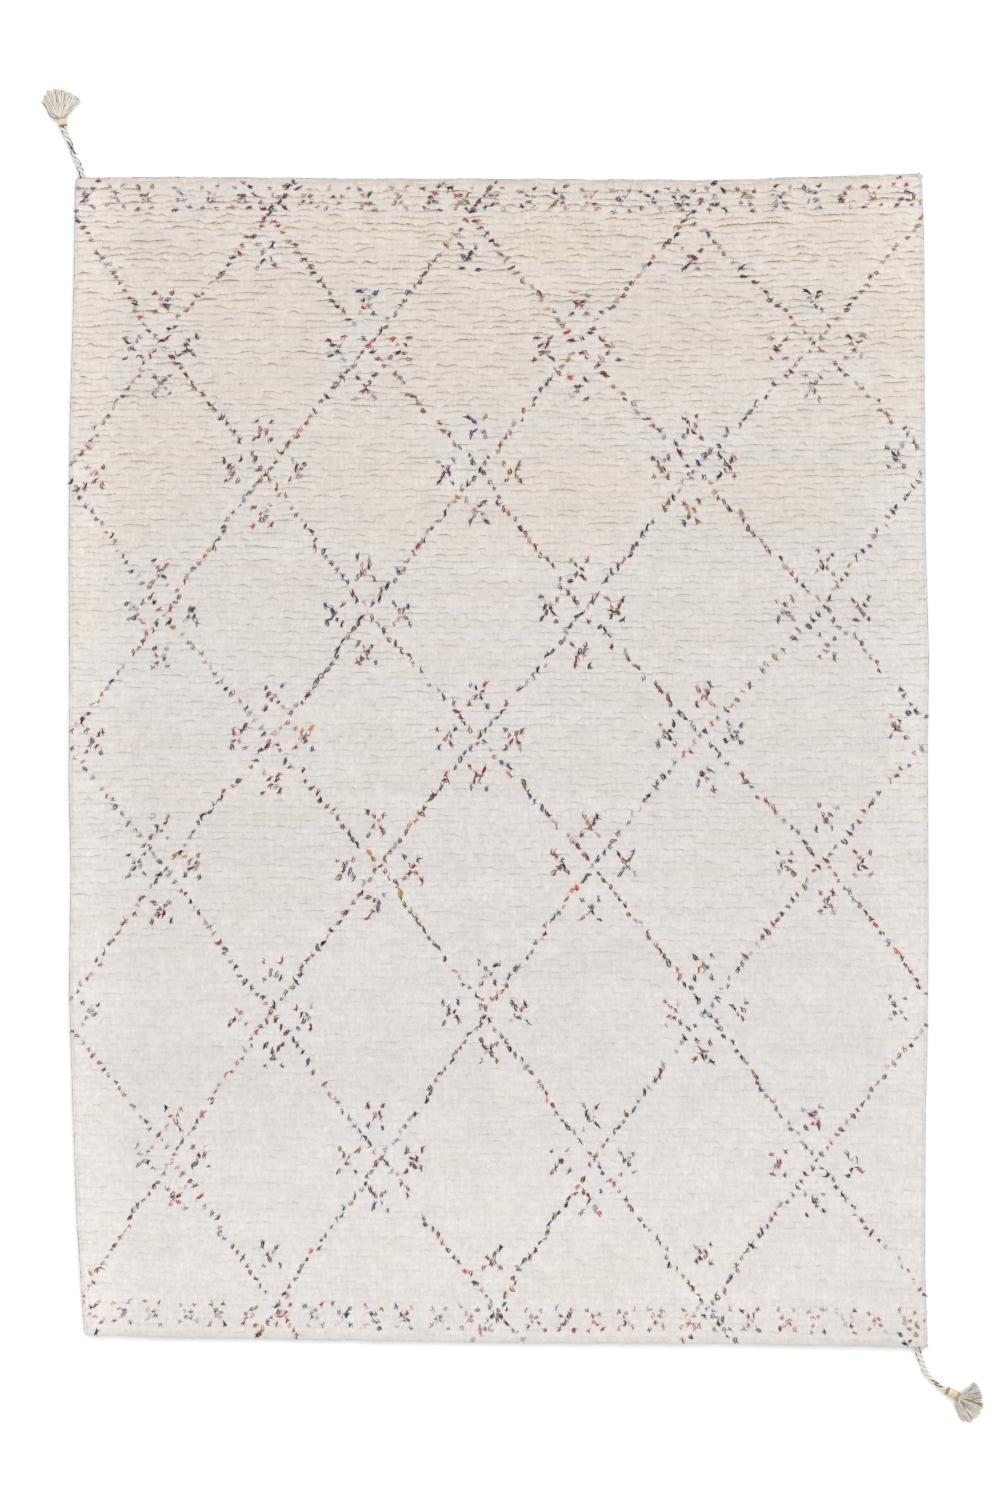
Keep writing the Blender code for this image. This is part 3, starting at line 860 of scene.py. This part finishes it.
def edge_share(row, knot):
    """How high the pile stands beside the edges, as a share of its height further in."""
    side = np.minimum(knot + 0.5, KNOTS - knot - 0.5)
    return (0.90 + 0.10 * ease(0.0, 2.2, side)) * (0.84 + 0.16 * ease(0.0, 1.6, row + 0.4))


def humps(x, y):
    """Broad, low unevenness of the pile's height."""
    return 0.0009 * drift(x, y, (0.17, 0.17), 15)


def surface_height(places, row, knot):
    """How high the tufts reach at some places."""
    return (SURFACE + humps(*places.T)) * edge_share(row, knot)


def add_pile(tones, material):
    """A tongue-shaped tuft at each knot, which leans over the next row, in panels of whole rows."""
    pieces = []
    bounds = np.linspace(0, ROWS, PANELS + 1).round().astype(int)
    phase = np.random.default_rng(223).uniform(-0.5, 0.5, ROWS)
    for panel, (first, last) in enumerate(zip(bounds, bounds[1:])):
        chance = np.random.default_rng(101 + panel)
        row, knot = (item.ravel() for item in np.mgrid[first:last, 0:KNOTS])
        count = len(row)
        pair = knot // 2 + (row % 2) * 1000 + row * 3000
        pair_chance = np.random.default_rng(211).uniform(-1.0, 1.0, (4, pair.max() + 1))[:, pair]
        slide = 0.30 * drift(knot + 40 * phase[row], row, (5.0, 0.7), 11) + chance.uniform(-0.10, 0.10, count)
        across = (knot + 0.5 + slide * ease(0.0, 3.0, np.minimum(knot, KNOTS - 1 - knot))) / KNOTS
        open_share = np.clip(1 - row / CLOSED_ROW, 0.0, 1.0) ** 2.1
        ribbed = 1 - ease(98, 130, row)
        root = plan(across, np.maximum(row - ROOT_ROWS, 0.12) / ROWS)
        tip = plan(across, (row + TIP_ROWS) / ROWS)
        for end, line in ((tip, row + 1.0), (root, row - ROOT_ROWS)):
            calm = ease(0.0, 3.0, line) * ease(0.0, 3.0, ROWS - line)
            end[:, 1] += drift(*end.T, (0.042, 0.020), 13) * (0.0014 + 0.0030 * open_share) * calm
        near_end = row == ROWS - 1
        tip[near_end, 1] = plan(across, (row + 1.0) / ROWS)[near_end, 1] + 0.0006
        length = root[:, 1] - tip[:, 1]
        lean = lean_of(*tip.T) + 0.05 * pair_chance[1] + chance.uniform(-0.05, 0.05, count)
        inside = ease(0.0, 0.030, 0.89 - np.abs(tip[:, 0]))
        tip[:, 0] += lean * length * 0.5 * inside
        root[:, 0] -= lean * length * 0.5 * inside

        broken = drift(*tip.T, (0.026, 0.0125), 14) + 0.4 * drift(*tip.T, (0.11, 0.03), 16)
        step = (0.00014 + 0.00012 * ribbed + 0.00084 * open_share) * np.clip(0.85 + 1.15 * broken, 0.0, 1.9)
        high = TUFT_CROWN + humps(*tip.T)
        high = high + 0.0004 * pair_chance[2] + chance.uniform(-0.00025, 0.00025, count)
        high = high * edge_share(row, knot)
        under = high - 0.0009 - 0.0003 * ribbed - 0.0003 * open_share - 1.5 * step
        low_tip = np.where(near_end, high - 0.0036, high - 0.0006)
        share = np.array((0.08, 0.72, 1.0))
        centre = np.empty((count, 3, 3))
        centre[..., :2] = root[:, None] + (tip - root)[:, None] * share[None, :, None]
        centre[..., 2] = packed(under, high, low_tip)
        width = TUFT_WIDTH * (1 + 0.08 * pair_chance[3] + chance.uniform(-0.08, 0.08, count))
        wide = width[:, None] * np.where(near_end[:, None], (1.0, 1.0, 0.95), (1.0, 1.0, 0.66))
        fall = np.array((-0.0006, 0.0, 0.0, -0.0006))
        points = np.repeat(centre[:, :, None], 4, axis=2)
        points[..., 0] += wide[..., None] * TUFT_SECTION
        points[..., 2] += fall * np.array((1.0, 1.0, 0.7))[None, :, None]
        selvedge = [on_edge(name, (row + 0.5) / ROWS)[:, 0, None, None] for name in ("left", "right")]
        inset = 0.0016 + 0.0004 * pair_chance[0][:, None, None]
        points[..., 0] = np.clip(points[..., 0], selvedge[0] + inset, selvedge[1] - inset)
        wave = drift(points[..., 0], points[..., 1], (0.0150, 0.0085), 12) * 1.25
        loose = (0.0030 + 0.0008 * open_share + 0.0007 * pair_chance[0])[:, None, None]
        wave = np.minimum(wave * loose, 0.0028)
        points[..., 1] += wave * np.where(near_end[:, None], 0.25, (0.0, 0.25, 1.0))[:, :, None]

        own = 1 + 0.010 * pair_chance[0] + chance.uniform(-0.010, 0.010, count)
        # Painted shade: each tuft's root, under the tips of the row before, is darker, and in the open rows
        # towards the far end it takes a warm brown painted groove shade.
        groove_shade_weight = (open_share * np.clip(0.75 + 0.9 * broken, 0.1, 1.6))[:, None] * np.array((1.0, 0.0, 0.10))
        warm_shade = 1 - np.array((0.90, 0.82, 0.71))
        shade = np.array((0.91, 1.0, 0.995))[None, :, None] * (1 - warm_shade * groove_shade_weight[..., None])
        tone = (tones[row, knot] * own[:, None])[:, None, None] * shade[:, :, None]
        pile = strips(f"pile_{panel + 1}", points, tone, wide / 2, False)
        pieces.append(dress(pile, material, "pile_wool", "rug"))
    return pieces


def ridge(places, angles, lengths, widths, heights, curls, tone, name):
    """Thin yarns with a roof-shaped section that lie on the pile: each is highest near its middle."""
    share = np.linspace(-0.5, 0.5, 4)
    ahead = packed(np.cos(angles), np.sin(angles))
    aside = packed(-np.sin(angles), np.cos(angles))
    bend = curls[:, None] * (share**2 - 0.08)[None] * 4 * lengths[:, None]
    run = share[None] * lengths[:, None]
    centre = np.empty((len(places), len(share), 3))
    centre[..., :2] = places[:, None] + ahead[:, None] * run[..., None] + aside[:, None] * bend[..., None]
    arch = 1 - (2 * share) ** 2
    centre[..., 2] = heights[0][:, None] + (heights[1] - heights[0])[:, None] * arch[None] ** 0.7
    slim = np.maximum(0.22, arch**0.5)[None] * widths[:, None]
    across = unit(np.cross(UP, unit(np.gradient(centre, axis=1))))
    section = np.array((-1.0, 0.0, 1.0))
    points = centre[:, :, None] + across[:, :, None] * (slim[..., None] * section)[..., None]
    points[..., 1, 2] += slim * 0.8
    return strips(name, points, tone[:, None, None], slim, False)


def add_loose_ends(layer, tones, material):
    """Single yarn ends that lie over the tufts and cross the grooves."""
    chance = np.random.default_rng(300 + layer)
    count = LOOSE_ENDS
    row = chance.uniform(0.9, ROWS - 1.0, count)
    knot = chance.uniform(0.8, KNOTS - 0.8, count)
    places = plan(knot / KNOTS, row / ROWS)
    near = tones[np.minimum(row.astype(int), ROWS - 1), np.minimum(knot.astype(int), KNOTS - 1)]
    angles = np.radians(-90.0) + lean_of(*places.T) * 1.4 + chance.normal(0.0, 0.34, count)
    lengths = chance.uniform(*LOOSE_LENGTHS, count)
    widths = chance.uniform(*LOOSE_WIDTHS, count)
    top = surface_height(places, row - 0.5, knot - 0.5)
    heights = (top - 0.0028, top - 0.8 * widths - chance.uniform(0.0, 0.0007, count))
    curls = chance.normal(0.0, 0.16, count)
    tone = near * chance.uniform(0.90, 1.07, (count, 1))
    ends = ridge(places, angles, lengths, widths, heights, curls, tone, f"loose_ends_{layer}")
    return dress(ends, material, "pile_wool", "rug")


def sliver_angles(row, knot, slope, chance):
    """The way a coloured yarn lies, in degrees.

    It lies flat at the far end, steep in the middle and outwards at the sides.
    """
    count = len(row)
    flat = 1 - ease(22, 48, row)
    left = 1 - ease(34, 66, knot)
    right = ease(98, 128, knot)
    steep = np.where(slope > 0, 66.0, 114.0)
    outward = np.where(left > 0, 46.0, np.where(right > 0, 127.0, steep))
    outward = np.where(some_of(chance, count, 0.25), steep, outward)
    weight = np.maximum(left, right)
    down = steep * (1 - weight) + outward * weight
    laid = np.where(slope > 0, 32.0, 170.0)
    laid = np.where(some_of(chance, count, 0.2), 184.0 - laid, laid)
    angle = down * (1 - flat) + laid * flat
    angle = angle + chance.normal(0.0, 14.0, count)
    return np.where(some_of(chance, count, 0.10), chance.uniform(0.0, 180.0, count), angle)


def boldness(row, knot):
    """How much of a coloured knot shows: most in the middle of the rug, less at the left and the near end."""
    middle = ease(18, 45, knot) * (1 - ease(128, 158, knot))
    return (1.02 + 0.15 * middle) * (1 - 0.10 * ease(104, 150, row)) * (1 - 0.05 * (1 - ease(0, 28, knot)))


def choose_yarns(marks):
    """A yarn for each coloured knot, sometimes the same as the last one."""
    chance = np.random.default_rng(404)
    chosen = {}
    last = YARN_NAMES[0]
    for key in sorted(marks):
        if chance.uniform() > 0.22:
            last = YARN_NAMES[int(chance.choice(len(YARN_NAMES), p=YARN_ODDS))]
        chosen[key] = last
    return chosen


def add_slivers(marks, yarn_of, material):
    """Yarns of the lattice, motifs and bands: a few stout ends and some stray ones at each knot."""
    chance = np.random.default_rng(505)
    keys = sorted(marks)
    count = len(keys)
    rows, knots = np.array(keys, float).T
    slopes = np.array([marks[key][0] for key in keys])
    base = np.array([YARN_COLOURS[yarn_of[key]] for key in keys])
    band = np.array([marks[key][1] == "band" for key in keys])
    bold = boldness(rows, knots) * np.exp(chance.normal(0.0, 0.22, count)) * np.where(band, 0.74, 1.0)
    faint = some_of(chance, count, 0.28 - 0.15 * bold)
    gone = some_of(chance, count, 0.10 - 0.06 * bold)
    angle = sliver_angles(rows, knots, slopes, chance)
    spot_row = rows + 0.72 + chance.normal(0.0, 0.18, count)
    spot_knot = knots + 0.5 + chance.normal(0.0, 0.22, count)
    stout = 2 + some_of(chance, count, bold - 0.20)
    stray = chance.integers(2, 4, count)
    kinds = [(number, many) for number in range(len(SPOTS)) for many in (stout, stray)]
    taken = [np.flatnonzero((number < many) & ~gone) for number, many in kinds]
    which = np.concatenate(taken)
    sizes = [len(group) for group in taken]
    thick = np.repeat([True, False] * len(SPOTS), sizes)
    aside = np.repeat(np.repeat(SPOTS, 2), sizes)
    total = len(which)
    size = np.clip(bold[which], 0.5, 1.5)

    def drawn(of_stout, of_stray, scale=1.0):
        """A chance value for each yarn, from the range of its kind."""
        stout_values = chance.uniform(*of_stout, total) * scale
        return np.where(thick, stout_values, chance.uniform(*of_stray, total))

    turn = np.radians(angle[which] + chance.normal(0.0, 1.0, total) * np.where(thick, 12.0, 34.0))
    lengths = drawn(STOUT_LENGTHS, STRAY_LENGTHS, size)
    widths = drawn(STOUT_WIDTHS, STRAY_WIDTHS, size)
    places = plan(
        np.clip(spot_knot[which], 0.5, KNOTS - 0.5) / KNOTS,
        np.clip(spot_row[which], 0.4, ROWS - 0.5) / ROWS,
    )
    lie = np.radians(angle[which])
    slip = chance.normal(0.0, 0.0022, total)
    aside = aside + chance.normal(0.0, 0.0008, total)
    places[:, 0] += np.cos(lie) * slip - np.sin(lie) * aside
    places[:, 1] += np.sin(lie) * slip + np.cos(lie) * aside
    tones = base[which] * chance.uniform(0.75, 1.25, (total, 1))
    other = some_of(chance, total, 0.32)
    picked = chance.choice(len(YARN_NAMES), total, p=YARN_ODDS)
    tones = np.where(other[:, None], np.array(list(YARN_COLOURS.values()))[picked], tones)
    paler = drawn((0.0, 0.02), (0.0, 0.28))
    paler = np.where(faint[which], chance.uniform(0.30, 0.62, total), paler)[:, None]
    tones = tones * (1 - paler) + COOL_WHITE * paler
    top = surface_height(places, spot_row[which] - 0.5, spot_knot[which] - 0.5)
    heights = (top - 0.0013, top - 0.0005 + chance.uniform(0.0, 0.0010, total))
    curls = chance.normal(0.0, 1.0, total) * np.where(thick, 0.30, 0.40)
    slivers = ridge(places, turn, lengths, widths, heights, curls, tones, "coloured_yarn")
    return dress(slivers, material, "coloured_yarn", "rug")


def rim_places(step):
    """Even places along the four edges, the level way out at each, and whether a thread is wound there."""
    places = []
    outs = []
    wound = []
    for name, turn in (("near", 1.0), ("right", -1.0), ("far", -1.0), ("left", 1.0)):
        line = evened(EDGES[name][1], step)
        ahead = unit(np.diff(line, axis=0)) * turn
        places.append((line[1:] + line[:-1]) / 2)
        outs.append(packed(ahead[:, 1], -ahead[:, 0]))
        wound.append(np.full(len(ahead), name != "near"))
    return np.concatenate(places), np.concatenate(outs), np.concatenate(wound)


def add_rim(tones, material):
    """Tufts that stand out of the rug's edges and hang towards the floor, in two layers."""
    chance = np.random.default_rng(606)
    parts = []
    colours = []
    ring, out, wound = rim_places(RIM_STEP)
    ring = ring - out * np.where(wound, 0.0016, 0.0)[:, None]
    count = len(ring)
    along = packed(-out[:, 1], out[:, 0])
    row = np.clip(((RUG_SIZE[1] / 2 - ring[:, 1]) / RUG_SIZE[1] * ROWS).astype(int), 0, ROWS - 1)
    knot = np.clip(((ring[:, 0] + RUG_SIZE[0] / 2) / RUG_SIZE[0] * KNOTS).astype(int), 0, KNOTS - 1)
    wide = RIM_WIDTH * np.array((0.8, 1.0, 0.95, 0.5))
    # Painted shade: each rim tuft is darker at its root and at its foot near the floor.
    shade = np.array((0.85, 1.0, 0.93, 0.86))
    for layer, (inward, crest, outward, foot) in enumerate(RIM_LAYERS):
        reach = outward + chance.uniform(-0.0010, 0.0008, count)
        slide = chance.uniform(-0.002, 0.002, count)
        places = np.array((-inward, -0.35 * inward, 0.0, 0.0))
        centre = np.zeros((count, 4, 3))
        centre[..., :2] = (ring + along * slide[:, None])[:, None] + out[:, None] * places[None, :, None]
        centre[:, 2, :2] += out * (reach * 0.85)[:, None]
        centre[:, 3, :2] += out * reach[:, None]
        drop = chance.uniform(-0.0012, 0.0012, count)
        centre[..., 2] = np.array((crest - 0.004, crest, (crest * 2 + foot) / 3, foot))[None] + drop[:, None]
        centre[..., 2] = np.maximum(centre[..., 2], 0.0006)
        points = np.repeat(centre[:, :, None], 4, axis=2)
        points[..., :2] += along[:, None, None] * (wide[:, None] * TUFT_SECTION)[None, ..., None]
        points[..., :2] -= out[:, None, None] * (0.0011 * np.array((1, 0, 0, 1)))[None, None, :, None]
        parts.append(points)
        # Painted shade: the lower layer, under the upper one, is 0.08 darker.
        tone = tones[row, knot] * chance.uniform(0.93, 1.02, (count, 1)) * (0.97 - 0.08 * layer)
        colours.append(tone[:, None, None] * shade[None, :, None, None] * np.ones((1, 1, 4, 1)))
    rim = strips("pile_rim", np.concatenate(parts), np.concatenate(colours), 0.006, False)
    return dress(rim, material, "pile_wool", "rug")


def add_overcast(material):
    """Thread wrapped round each selvedge and the far end, with a dark turn here and there.

    A row is (edge, way out, brightness, range of the sections from one dark turn to the next).
    """
    chance = np.random.default_rng(707)
    lines = []
    tones = []
    count = OVERCAST_SECTIONS
    rows = (
        ("left", (-1.0, 0.0), 0.36, (2, 7)),
        ("right", (1.0, 0.0), 0.74, (9, 24)),
        ("far", (0.0, 1.0), 0.62, (7, 20)),
    )
    for name, way, shade, spacing in rows:
        centre = np.empty((count, 3))
        centre[:, :2] = on_edge(name, np.linspace(0.003, 0.997, count)) - np.array(way) * OVERCAST_INSET
        centre[:, 2] = OVERCAST_HEIGHT
        lines.append(centre)
        tone = np.repeat(COOL_WHITE[None] * shade, count, axis=0)
        dark = np.zeros(count)
        place = 6
        while place < count - 6:
            width = int(chance.integers(1, 3))
            dark[place : place + width] = chance.uniform(0.35, 0.95)
            place += int(chance.integers(*spacing))
        tone = tone * (1 - dark[:, None]) + YARN_COLOURS["charcoal"] * dark[:, None]
        tones.append(tone * chance.uniform(0.90, 1.05, (count, 1)))
    radii = np.where(np.arange(count) % 2 == 0, 0.0024, 0.0020)
    piece = tubes("overcast_edges", np.array(lines), radii[None], 6, np.array(tones)[:, :, None])
    return dress(piece, material, "ground_weave", "rug")


def add_ground(yarn_of, material):
    """The woven ground: a thin closed sheet, with a face for each knot on its underside."""
    wide = KNOTS + 1
    columns = np.linspace(GROUND_INSET, 1 - GROUND_INSET, wide)
    lines = np.linspace(GROUND_INSET * 0.7, 1 - GROUND_INSET * 0.7, ROWS + 1)
    across, along = np.meshgrid(columns, lines)
    flat = plan(across, along)
    low = np.concatenate([flat, np.full((*flat.shape[:2], 1), FLOOR_GAP)], axis=-1).reshape(-1, 3)
    rim = np.concatenate(
        [
            np.arange(wide),
            np.arange(1, ROWS + 1) * wide + KNOTS,
            ROWS * wide + np.arange(KNOTS - 1, -1, -1),
            np.arange(ROWS - 1, 0, -1) * wide,
        ]
    )
    high = low[rim]
    high[:, 2] = GROUND_TOP
    over = np.arange(len(rim)) + len(low)
    walls = np.stack([np.roll(rim, -1), rim, over, np.roll(over, -1)], axis=-1)
    tone = np.repeat((WARM_WHITE * 0.93)[None], len(low) + len(rim), axis=0)
    fibre = packed(across * KNOTS, along * ROWS, 0.0).reshape(-1, 3)
    for (row, knot), yarn in yarn_of.items():
        for i in (0, 1):
            tone[(row + i) * wide + knot] = YARN_COLOURS[yarn] * 0.8 + 0.10
    ground = add_mesh(
        "woven_ground",
        np.concatenate([low, high]),
        np.concatenate([grid_faces(1, ROWS + 1, wide, False), walls]),
        tone,
        np.concatenate([fibre, fibre[rim]]),
        lid=over[::-1],
    )
    return dress(ground, material, "ground_weave", "rug")


# Making

add_camera()
add_light()
add_floor()

materials = {
    "pile": yarn_material("pile wool", (1.7, 0.16, 1.0), 0.14, 0.0008, 0.88, 0.12),
    "colour": yarn_material("coloured wool", (2.6, 0.22, 1.0), 0.22, 0.0003, 0.86, 0.08),
    "cord": yarn_material("cord yarn", (2.4, 0.30, 1.0), 0.16, 0.0003, 0.84, 0.15),
    "thread": yarn_material("gold thread", (3.0, 0.50, 1.0), 0.15, 0.00015, 0.50, 0.10),
    "tassel": yarn_material("tassel yarn", (2.4, 0.20, 1.0), 0.14, 0.0002, 0.84, 0.15),
    "weave": weave_material("woven ground"),
}

add_corner(
    "far_left",
    marks=(
        (0, 1, "navy", 0.00, 1.0),
        (1, 3, "charcoal", 0.0, 0.75),
        (2, 0, "charcoal", 0.0, 0.22),
        (2, 2, "navy", 0.3, 1.0),
    ),
    bands=((0.14, GOLD), (0.84, PALE_GOLD), (1.0, GOLD)),
    shade=np.array((0.80, 0.75, 0.70)),
    locks=(
        (39.0, 66.0, (0.30, 0.29, 0.31), 0.10),
        (66.0, 100.0, (0.42, 0.36, 0.30), 0.06),
        (104.0, 131.0, (0.30, 0.24, 0.20), 0.12),
        (135.0, 141.0, (0.62, 0.50, 0.34), 0.45),
        (141.0, 144.0, (0.20, 0.16, 0.10), 0.50),
    ),
)
add_corner(
    "near_right",
    marks=(
        (0, 1, "charcoal", 0.00, 0.34),
        (1, 3, "charcoal", 0.0, 0.28),
        (0, 3, "maroon", 0.42, 1.0),
        (2, 0, "maroon", 0.48, 1.0),
    ),
    bands=((0.16, GOLD), (0.34, PALE_GOLD), (0.84, KNOB_WHITE), (1.0, GOLD)),
    shade=np.array((0.74, 0.69, 0.63)),
    locks=(
        (-87.0, -45.0, (0.42, 0.36, 0.28), 0.10),
        (-25.0, -14.0, (0.31, 0.22, 0.06), 0.60),
        (-14.0, -11.0, (0.12, 0.07, 0.03), 0.60),
        (-8.0, 49.0, (0.44, 0.42, 0.42), 0.55),
        (12.0, 17.0, (0.16, 0.05, 0.08), 0.50),
        (24.0, 49.0, (0.22, 0.21, 0.22), 0.10),
    ),
)

chart = draw_chart()
yarn_of = choose_yarns(chart)
wool = knot_tones(yarn_of)
ground = add_ground(yarn_of, materials["weave"])
upper = add_pile(wool, materials["pile"])
upper.append(add_rim(wool, materials["pile"]))
upper.extend(add_loose_ends(layer, wool, materials["pile"]) for layer in (1, 2))
upper.append(add_slivers(chart, yarn_of, materials["colour"]))
upper.append(add_overcast(materials["weave"]))
